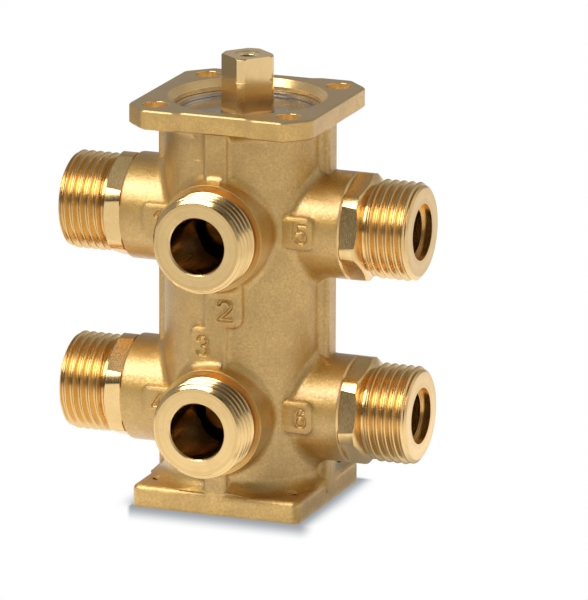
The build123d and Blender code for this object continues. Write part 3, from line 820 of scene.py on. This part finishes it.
# Foot: its underside, its sides and its holes
FOOT_BOTTOM, FOOT_SIDE_TOP, FOOT_ASIDE, FOOT_ALONG = 0.05, 4.85, 18.0, 15.6
FOOT_HOLE_PLACE, FOOT_HOLE_RADIUS, FOOT_HOLE_TOP = (15.3, 12.9), 1.2, 4.9
# How far behind its pad's face a number may lie
LABEL_DEPTH = 0.6
# Fittings: x of the hexagon, the reach of its flats, the end inside the boss, and the bore
HEXAGON_START, HEXAGON_END, HEXAGON_REACH = 24.7, 29.35, 10.5
FITTING_INSIDE_END = 24.8
FITTING_BORE_RADIUS = 6.05
# Stem: the countersink of its screw hole
COUNTERSINK_RADIUS, COUNTERSINK_ABOVE = 2.6, 85.0


def body_zone(face):
    """The finish of one face of the forging: blasted, or one of the machined ones"""
    x, y, z = face.calc_center_median()
    normal = face.normal
    for height in ROWS:
        if y < FRONT_CUT and math.hypot(x, z - height) < FRONT_CUT_RADIUS:
            return "front_turned_brass"
        if y < FRONT_COLLAR and math.hypot(x, z - height) < FRONT_CUT_RADIUS and normal.y < -0.9:
            return "collar_brass"
        if abs(x) > SIDE_CUT and math.hypot(y, z - height) < SIDE_CUT_RADIUS:
            return "side_cut_brass"
    radius = math.hypot(x, y)
    if z > FLANGE_TOP and normal.z > 0.3 and radius > RECESS_RADIUS:
        return "flange_milled_brass"
    # Bolt holes get the lighter brass, which is painted light
    if z > BOLT_HOLE_BOTTOM and math.hypot(abs(x) - BOLT_PLACE, abs(y) - BOLT_PLACE) < BOLT_HOLE_RADIUS:
        return "hole_brass"
    if z > RECESS_CONE and radius < RECESS_RADIUS:
        return "recess_brass"
    wall = abs(normal.z) < 0.4
    # Flange and foot sides get the lighter skin, which is painted light
    if z > FLANGE_SIDE and wall and radius > FLANGE_SIDE_RADIUS:
        return "rim_brass"
    if FOOT_BOTTOM < z < FOOT_SIDE_TOP and wall and (abs(x) > FOOT_ASIDE or abs(y) > FOOT_ALONG):
        return "rim_brass"
    # Bores and holes from here on get the darker brass, which is painted shade
    in_bore = radius < BORE_RADIUS and (z > CHAMBER_TOP or radius < CHAMBER_RADIUS)
    if in_bore and z > BORE_BOTTOM and y > BORE_FRONT:
        inward = normal.x * x + normal.y * y < 0.0
        if inward or abs(normal.z) > 0.9 or radius < GROOVE_RADIUS and z > GROOVE_BOTTOM:
            return "bored_brass"
    for height in ROWS:
        if math.hypot(x, z - height) < FRONT_BORE_RADIUS and y < 0:
            return "bored_brass"
        if math.hypot(y, z - height) < SIDE_BORE_RADIUS and abs(x) < SIDE_BORE_END:
            return "bored_brass"
    hole_x, hole_y = FOOT_HOLE_PLACE
    if z < FOOT_HOLE_TOP and math.hypot(abs(x) - hole_x, abs(y) - hole_y) < FOOT_HOLE_RADIUS:
        return "bored_brass"
    if z < FOOT_BOTTOM:
        return "flange_milled_brass"
    for _, level, _, _, across, upright in NUMBER_FIELDS:
        if y < level + LABEL_DEPTH and across[0] < x < across[1] and upright[0] < z < upright[1]:
            return "label_brass"
    return "forged_brass"


def fitting_zone(face, row):
    """The finish of one face of a side fitting: hexagon flat, bore, or off the lathe"""
    x, y, z = face.calc_center_median()
    normal = face.normal
    if HEXAGON_START < abs(x) < HEXAGON_END and abs(normal.x) < 0.02:
        if abs(y * normal.y + (z - row) * normal.z - HEXAGON_REACH) < 0.02:
            return "hexagon_brass"
    if abs(x) >= FITTING_INSIDE_END and math.hypot(y, z - row) < FITTING_BORE_RADIUS:
        return "bore_brass"
    return "side_turned_brass"


def in_countersink(face):
    """Whether a face of the stem belongs to the countersink of its screw hole"""
    x, y, z = face.calc_center_median()
    sloping = 0.1 < abs(face.normal.z) < 0.95
    return math.hypot(x, y) < COUNTERSINK_RADIUS and z > COUNTERSINK_ABOVE and sloping


# One operator for each piece or group of like pieces

class VALVE_OT_finishes(bpy.types.Operator):
    """Make the shader groups and every finish of the valve"""

    bl_idname = "valve.finishes"
    bl_label = "Finishes"

    def execute(self, context):
        colours = context.scene.valve_colours
        build_grain_group()
        build_rings_group()
        build_edge_group()
        x_axis, y_axis, z_axis = (1.0, 0.0, 0.0), (0.0, 1.0, 0.0), (0.0, 0.0, 1.0)
        forged = (colours.forged, colours.forged_shade)
        turned = (colours.turned, colours.turned_shade)
        # A darker pair of the turned brass: painted shade in the bores, and the collar's tone
        dark_turned = (colours.turned_shade, colours.forged_shade)
        blasted_material("forged_brass", *forged)
        blasted_material("label_brass", *forged, radius=0.1 * MM, wide=0.1 * MM)
        # Flange and foot sides: a lighter copy of the forged skin, which is painted light, with more edge
        # wear
        blasted_material("rim_brass", scaled(colours.forged, 1.2), scaled(colours.forged_shade, 1.15),
                         radius=0.35 * MM, wear=0.35)
        turned_material("front_turned_brass", *turned, y_axis)
        turned_material("side_turned_brass", *turned, x_axis)
        # The threads carry painted shade in their grooves
        turned_material("front_thread_brass", *turned, y_axis, roughness=(0.1, 0.18), thread=1.0)
        turned_material("side_thread_brass", *turned, x_axis, roughness=(0.2, 0.3), thread=0.15)
        turned_material("recess_brass", *turned, z_axis, 0.0, (0.2, 0.3), metallic=0.84)
        # Lighter brass in the bolt holes and the stem's countersink: painted light
        turned_material("hole_brass", (1.0, 0.8, 0.42), colours.turned, z_axis, 0.0, (0.1, 0.18),
                        radius=0.3 * MM, metallic=0.86)
        turned_material("collar_brass", *dark_turned, y_axis, roughness=(0.34, 0.44))
        turned_material("bore_brass", *turned, x_axis, roughness=(0.16, 0.26), bump=0.000008)
        turned_material("side_cut_brass", *turned, x_axis, roughness=(0.22, 0.32))
        # Darker turned brass in the bores and foot holes: painted shade
        turned_material("bored_brass", *dark_turned, z_axis, 0.0, (0.15, 0.26))
        turned_material("inner_brass", *turned, z_axis, 0.0)
        milled_material("flange_milled_brass", colours.milled, scaled(colours.milled, 0.86),
                        (1.0, 1.0, 1.0), roughness=(0.3, 0.42), bump=0.00001, scale=2600.0)
        milled_material("hexagon_brass", *turned, (1.0, 0.25, 0.25),
                        roughness=(0.2, 0.3), bump=0.000006, scale=4500.0, contrast=0.3)
        # The stem is lighter than the turned brass: painted light, over its milling lines
        milled_material("stem_brass", (0.98, 0.70, 0.33), colours.turned, (1.0, 1.0, 0.1),
                        roughness=(0.12, 0.2), bump=0.000006, scale=2600.0, radius=0.1 * MM, contrast=0.8,
                        metallic=0.94)
        dull_steel = scaled(colours.steel, 0.8)
        turned_material("polished_steel", colours.steel, dull_steel, z_axis, 0.0, (0.12, 0.2), 0.000003)
        turned_material("spring_steel", scaled(colours.steel, 1.3), dull_steel, z_axis, 0.0, (0.2, 0.3))
        # The balls are painted dark: painted shade deep in the ports
        turned_material("dark_ball", (0.16, 0.12, 0.08), (0.12, 0.09, 0.06), z_axis, 0.0, (0.25, 0.33),
                        0.000001)
        soft_material("seat_plastic", (0.82, 0.81, 0.78), (0.76, 0.75, 0.71), 0.38, 1800.0, 0.00001)
        soft_material("seal_rubber", (0.018, 0.018, 0.019), (0.03, 0.03, 0.03), 0.5, 2400.0, 0.00002)
        return {"FINISHED"}


class VALVE_OT_body(bpy.types.Operator):
    """Dress the forging: machined zones, sunk port numbers, room for the front threads"""

    bl_idname = "valve.body"
    bl_label = "Valve body"

    def execute(self, context):
        major = context.scene.valve_threads.major_radius / MM
        grid = merged_grid("valve_body")
        for height in ROWS:
            draw_in_cylinder(grid, 1, 0, height, *FRONT_CYLINDER, major)
        grid.normal_update()
        for field in NUMBER_FIELDS:
            sink_number(grid, context.scene.valve_numbers, *field)
        for face in grid.faces:
            face.material_index = BODY_FINISHES.index(body_zone(face))
        mesh = finished_mesh("valve_forging", grid, BODY_FINISHES)
        piece = add_piece("valve_forging", mesh, "body")
        weighted_normals(piece)
        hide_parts("valve_body")
        return {"FINISHED"}


class VALVE_OT_front_threads(bpy.types.Operator):
    """Cut the pipe threads of the two front ports"""

    bl_idname = "valve.front_threads"
    bl_label = "Front threads"

    def execute(self, context):
        sizes = context.scene.valve_threads
        for name, height in FRONT_PORTS.items():
            mesh = thread_mesh(name, sizes, FRONT_THREAD, "front_thread_brass",
                               port_placing("front", height))
            add_piece(name, mesh, "body")
        return {"FINISHED"}


class VALVE_OT_fittings(bpy.types.Operator):
    """Dress the four side fittings and cut their threads"""

    bl_idname = "valve.fittings"
    bl_label = "Side fittings"

    def execute(self, context):
        sizes = context.scene.valve_threads
        major = sizes.major_radius / MM
        for node_name, (side, height) in SIDE_FITTINGS.items():
            grid = merged_grid(node_name)
            draw_in_cylinder(grid, 0, 1, height, *SIDE_CYLINDER, major)
            grid.normal_update()
            for face in grid.faces:
                face.material_index = FITTING_FINISHES.index(fitting_zone(face, height))
            name = node_name.replace("fitting", "nipple")
            mesh = finished_mesh(name, grid, FITTING_FINISHES)
            piece = add_piece(name, mesh, "body")
            weighted_normals(piece)
            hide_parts(node_name)
            name = node_name.replace("fitting", "thread")
            mesh = thread_mesh(name, sizes, SIDE_THREAD, "side_thread_brass", port_placing(side, height))
            add_piece(name, mesh, "body")
        return {"FINISHED"}


class VALVE_OT_stem(bpy.types.Operator):
    """Dress the square stem, the cover disc and the retaining ring"""

    bl_idname = "valve.stem"
    bl_label = "Stem and cover"

    def execute(self, context):
        pieces = [("stem", "square_stem", "rotor", ["stem_brass", "hole_brass"]),
                  ("cover_disc", "cover_plate", "body", ["polished_steel"]),
                  ("retaining_ring", "snap_ring", "body", ["spring_steel"])]
        for node_name, name, body, finishes in pieces:
            grid = merged_grid(node_name)
            if node_name == "stem":
                for face in grid.faces:
                    face.material_index = int(in_countersink(face))
            mesh = finished_mesh(name, grid, finishes)
            piece = add_piece(name, mesh, body)
            weighted_normals(piece)
            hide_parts(node_name)
        return {"FINISHED"}


class VALVE_OT_inner_parts(bpy.types.Operator):
    """Give the balls, seats, seals and bushes their finishes"""

    bl_idname = "valve.inner_parts"
    bl_label = "Inner parts"

    def execute(self, context):
        rules = [("_seal", "seal_rubber"), ("_ball", "dark_ball"), ("_seat", "seat_plastic"),
                 ("washer", "seat_plastic"), ("partition_ring", "spring_steel")]
        for name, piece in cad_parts.items():
            if piece.hide_render:
                continue
            finish = next((value for part, value in rules if part in name), "inner_brass")
            piece.data.materials.clear()
            piece.data.materials.append(material(finish))
        return {"FINISHED"}


def add_softbox(name, place, aim, size, power, colour):
    """A rectangular lamp that faces its aim"""
    lamp = bpy.data.lights.new(name, "AREA")
    lamp.shape = "RECTANGLE"
    lamp.size, lamp.size_y = size
    lamp.energy = power
    lamp.color = colour
    holder = bpy.data.objects.new(name, lamp)
    holder.location = place
    holder.rotation_euler = (Vector(aim) - Vector(place)).to_track_quat("-Z", "Y").to_euler()
    bpy.context.scene.collection.objects.link(holder)


def light_path(tree):
    """Light Path's shares: seen by the camera or through glass, mirrored, and scattered"""
    path = node(tree, "ShaderNodeLightPath").outputs
    seen = calc(tree, "MAXIMUM", path["Is Camera Ray"], path["Is Transmission Ray"])
    return seen, path["Is Glossy Ray"], path["Is Diffuse Ray"]


# The foot's outline on the floor, in millimetres from the body's axis
FOOT_SIDE, FOOT_FRONT, FOOT_BACK = 18.9, 18.9, 17.6
# How far the shadow reaches past the foot: right, left, front and back, in millimetres
SHADOW_REACHES = (4.0, 1.2, 11.0, 2.0)
# Brightness of the shadow beside the foot, and its tint
SHADOW_LEVEL = 0.38
SHADOW_TINT = (0.86, 0.93, 1.0, 1.0)
# Reach of the shadow in the corner under the foot, and half the width of the floor, in metres
CORNER_REACH = 0.006
FLOOR_HALF = 12.0
# Ramps of the floor as metal shows it: two places in metres, then the level or share at each
FLOOR_RANGE = (0.04, 0.2)
FLOOR_SIDES = (-0.05, 0.12, 0.98, 1.07)
# A patch of painted shade on the floor to the right of the foot, which the metal shows
SHADE_PATCH_ASIDE = (0.017, 0.021, 0.0, 0.7)
SHADE_PATCH_AWAY = (0.035, 0.058, 1.0, 0.0)
SHEET_END_LEFT = (-0.18, -0.3, 0.0, 1.0)
SHEET_END_BACK = (-0.12, 0.0, 0.0, 1.0)
DARK_ROOM = 0.15
# Ramps of the room as metal shows it: two heights, or two parts to the right, then the level at each
ROOM_BEHIND = (0.1, 0.7, 0.4, 0.26)
ROOM_BEFORE = (0.45, 0.8, 0.07, 0.16)
ROOM_RIGHT = (0.35, 0.85, 0.0, 0.4)
ROOM_SCATTERED = 0.9


class VALVE_OT_stage(bpy.types.Operator):
    """Set up the floor, the room, the lamp and the camera"""

    bl_idname = "valve.stage"
    bl_label = "Stage"

    def execute(self, context):
        studio = context.scene.valve_studio
        scene = context.scene
        scene.view_settings.view_transform = "Standard"
        self.make_floor(studio)
        self.make_world(scene, studio)
        add_softbox("key_softbox", place=(-0.45, -0.75, 0.95), aim=(0.0, 0.0, 0.05), size=(0.9, 0.72),
                    power=studio.key_power, colour=(1.0, 0.99, 0.97))
        self.make_camera(scene, studio)
        return {"FINISHED"}

    def contact_shadow(self, tree, place, studio):
        """1 on the open floor and less beside the foot, falling towards the camera"""
        across, along = place.outputs[0], place.outputs[1]
        ahead = calc(tree, "MAXIMUM", calc(tree, "SUBTRACT", -FOOT_FRONT * MM, along), 0.0)
        across = calc(tree, "SUBTRACT", across, calc(tree, "MULTIPLY", ahead, math.tan(studio.azimuth)))
        beyond = [calc(tree, "SUBTRACT", across, FOOT_SIDE * MM),
                  calc(tree, "SUBTRACT", -FOOT_SIDE * MM, across),
                  calc(tree, "SUBTRACT", -FOOT_FRONT * MM, along),
                  calc(tree, "SUBTRACT", along, FOOT_BACK * MM)]
        total = 0.0
        for distance, reach in zip(beyond, SHADOW_REACHES):
            share = calc(tree, "DIVIDE", calc(tree, "MAXIMUM", distance, 0.0), reach * MM)
            total = calc(tree, "ADD", total, calc(tree, "MULTIPLY", share, share))
        shadow = remap(tree, calc(tree, "SQRT", total), 0.0, 1.0, SHADOW_LEVEL, 1.0, True)
        near = node(tree, "ShaderNodeAmbientOcclusion", {"Distance": CORNER_REACH}, samples=16)
        return calc(tree, "MINIMUM", shadow, remap(tree, near.outputs["AO"], 0.5, 0.9, SHADOW_LEVEL, 1.0))

    def mirrored_floor(self, tree, place, shadow, studio):
        """Brightness of the floor in metal, with a patch of painted shade to the right of the foot"""
        flat = node(tree, "ShaderNodeCombineXYZ", {0: place.outputs[0], 1: place.outputs[1]})
        away = node(tree, "ShaderNodeVectorMath", {0: flat.outputs[0]}, operation="LENGTH").outputs["Value"]
        level = calc(tree, "MULTIPLY",
                     remap(tree, away, *FLOOR_RANGE, studio.floor_near, studio.floor_far, True),
                     remap(tree, shadow, SHADOW_LEVEL, 1.0, 0.7, 1.0))
        level = calc(tree, "MULTIPLY", level, remap(tree, place.outputs[0], *FLOOR_SIDES, True))
        # Painted shade to the right of the foot
        patch = calc(tree, "MULTIPLY", remap(tree, place.outputs[0], *SHADE_PATCH_ASIDE),
                     remap(tree, away, *SHADE_PATCH_AWAY, True))
        return calc(tree, "MULTIPLY", level, calc(tree, "SUBTRACT", 1.0, patch))

    def make_floor(self, studio):
        """A wide glowing floor: white with a shadow for the camera, with its own levels for metal"""
        grid = bmesh.new()
        bmesh.ops.create_grid(grid, x_segments=8, y_segments=8, size=FLOOR_HALF)
        mesh = bpy.data.meshes.new("studio_floor")
        grid.to_mesh(mesh)
        grid.free()
        made = bpy.data.materials.new("studio_floor")
        made.use_nodes = True
        tree = made.node_tree
        tree.nodes.clear()
        seen, glossy, _ = light_path(tree)
        place = node(tree, "ShaderNodeSeparateXYZ", {0: node(tree, "ShaderNodeTexCoord").outputs["Object"]})
        shadow = self.contact_shadow(tree, place, studio)
        mirrored = self.mirrored_floor(tree, place, shadow, studio)
        level = calc(tree, "ADD", calc(tree, "MULTIPLY", shadow, seen),
                     calc(tree, "MULTIPLY", mirrored, calc(tree, "SUBTRACT", 1.0, seen)))
        depth = calc(tree, "MULTIPLY", calc(tree, "SUBTRACT", 1.0, shadow), seen)
        colour = mix_colour(tree, depth, (1.0, 1.0, 1.0, 1.0), SHADOW_TINT)
        glow = node(tree, "ShaderNodeEmission", {"Color": colour, "Strength": level})
        # The sheet ends to the left behind the valve, and metal shows the dark room there
        left = remap(tree, place.outputs[0], *SHEET_END_LEFT, True)
        back = remap(tree, place.outputs[1], *SHEET_END_BACK, True)
        ended = calc(tree, "MULTIPLY", calc(tree, "MULTIPLY", left, back), glossy)
        room = node(tree, "ShaderNodeEmission", {"Strength": DARK_ROOM})
        sheet = node(tree, "ShaderNodeMixShader", {0: ended, 1: glow.outputs[0], 2: room.outputs[0]})
        out = node(tree, "ShaderNodeOutputMaterial")
        tree.links.new(sheet.outputs[0], out.inputs[0])
        mesh.materials.append(made)
        floor = bpy.data.objects.new("studio_floor", mesh)
        bpy.context.scene.collection.objects.link(floor)

    def make_world(self, scene, studio):
        """White behind the object; for the metal, a room that is darker in front and paler behind"""
        world = bpy.data.worlds.new("studio_world")
        world.use_nodes = True
        scene.world = world
        tree = world.node_tree
        tree.nodes.clear()
        way = node(tree, "ShaderNodeTexCoord").outputs["Generated"]
        parts = node(tree, "ShaderNodeSeparateXYZ", {0: way})
        front = (math.sin(studio.azimuth), -math.cos(studio.azimuth), 0.0)
        facing = node(tree, "ShaderNodeVectorMath", {0: way, 1: front}, operation="DOT_PRODUCT")
        ahead = remap(tree, facing.outputs["Value"], 0.0, 0.55, 0.0, 1.0, True)
        behind = remap(tree, parts.outputs[2], *ROOM_BEHIND, True)
        before = remap(tree, parts.outputs[2], *ROOM_BEFORE, True)
        level = calc(tree, "ADD", calc(tree, "MULTIPLY", behind, calc(tree, "SUBTRACT", 1.0, ahead)),
                     calc(tree, "MULTIPLY", before, ahead))
        level = calc(tree, "ADD", level, remap(tree, parts.outputs[0], *ROOM_RIGHT, True))
        seen, _, scattered = light_path(tree)
        level = calc(tree, "ADD", calc(tree, "MULTIPLY", level, calc(tree, "SUBTRACT", 1.0, scattered)),
                     calc(tree, "MULTIPLY", scattered, ROOM_SCATTERED))
        level = calc(tree, "MAXIMUM", level, seen)
        shade = node(tree, "ShaderNodeBackground", {"Color": (1.0, 1.0, 1.0, 1.0), "Strength": level})
        out = node(tree, "ShaderNodeOutputWorld")
        tree.links.new(shade.outputs[0], out.inputs[0])

    def make_camera(self, scene, studio):
        """The camera stands where the photograph was taken from"""
        round_about, lift, roll = studio.azimuth, studio.elevation, studio.roll
        back = Vector((math.sin(round_about) * math.cos(lift), -math.cos(round_about) * math.cos(lift),
                       math.sin(lift)))
        right = Vector((math.cos(round_about), math.sin(round_about), 0.0))
        up = back.cross(right)
        target = right * studio.aside + Vector((0.0, 0.0, studio.height))
        tilted_right = right * math.cos(roll) + up * math.sin(roll)
        tilted_up = up * math.cos(roll) - right * math.sin(roll)
        data = bpy.data.cameras.new("camera")
        data.sensor_width = 36.0
        data.lens = studio.lens
        data.clip_start, data.clip_end = 0.1, 60.0
        camera = bpy.data.objects.new("camera", data)
        turn = Matrix((tilted_right, tilted_up, back)).transposed().to_4x4()
        camera.matrix_world = Matrix.Translation(target + back * studio.distance) @ turn
        scene.collection.objects.link(camera)
        scene.camera = camera


class VALVE_PT_panel(bpy.types.Panel):
    """Lists the valve's steps and sizes"""

    bl_label = "Six-way valve"
    bl_idname = "VALVE_PT_panel"
    bl_space_type = "VIEW_3D"
    bl_region_type = "UI"
    bl_category = "Valve"

    def draw(self, context):
        layout = self.layout
        for step in STEPS:
            layout.operator(step.bl_idname)
        for pointer, kind in SETTINGS.items():
            box = layout.box()
            box.label(text=kind.__doc__)
            for name in kind.__annotations__:
                box.prop(getattr(context.scene, pointer), name)


SETTINGS = {
    "valve_threads": ThreadSizes,
    "valve_numbers": NumberSizes,
    "valve_colours": FinishColours,
    "valve_studio": StudioSettings,
}
STEPS = [VALVE_OT_finishes, VALVE_OT_body, VALVE_OT_front_threads, VALVE_OT_fittings, VALVE_OT_stem,
         VALVE_OT_inner_parts, VALVE_OT_stage]
CLASSES = [*SETTINGS.values(), *STEPS, VALVE_PT_panel]


def register():
    for item in CLASSES:
        bpy.utils.register_class(item)
    for pointer, kind in SETTINGS.items():
        setattr(bpy.types.Scene, pointer, bpy.props.PointerProperty(type=kind))


def unregister():
    for pointer in SETTINGS:
        delattr(bpy.types.Scene, pointer)
    for item in reversed(CLASSES):
        bpy.utils.unregister_class(item)


def main():
    """Builds the valve step by step"""
    register()
    for step in STEPS:
        group, name = step.bl_idname.split(".")
        getattr(getattr(bpy.ops, group), name)()


if __name__ == "__main__":
    main()
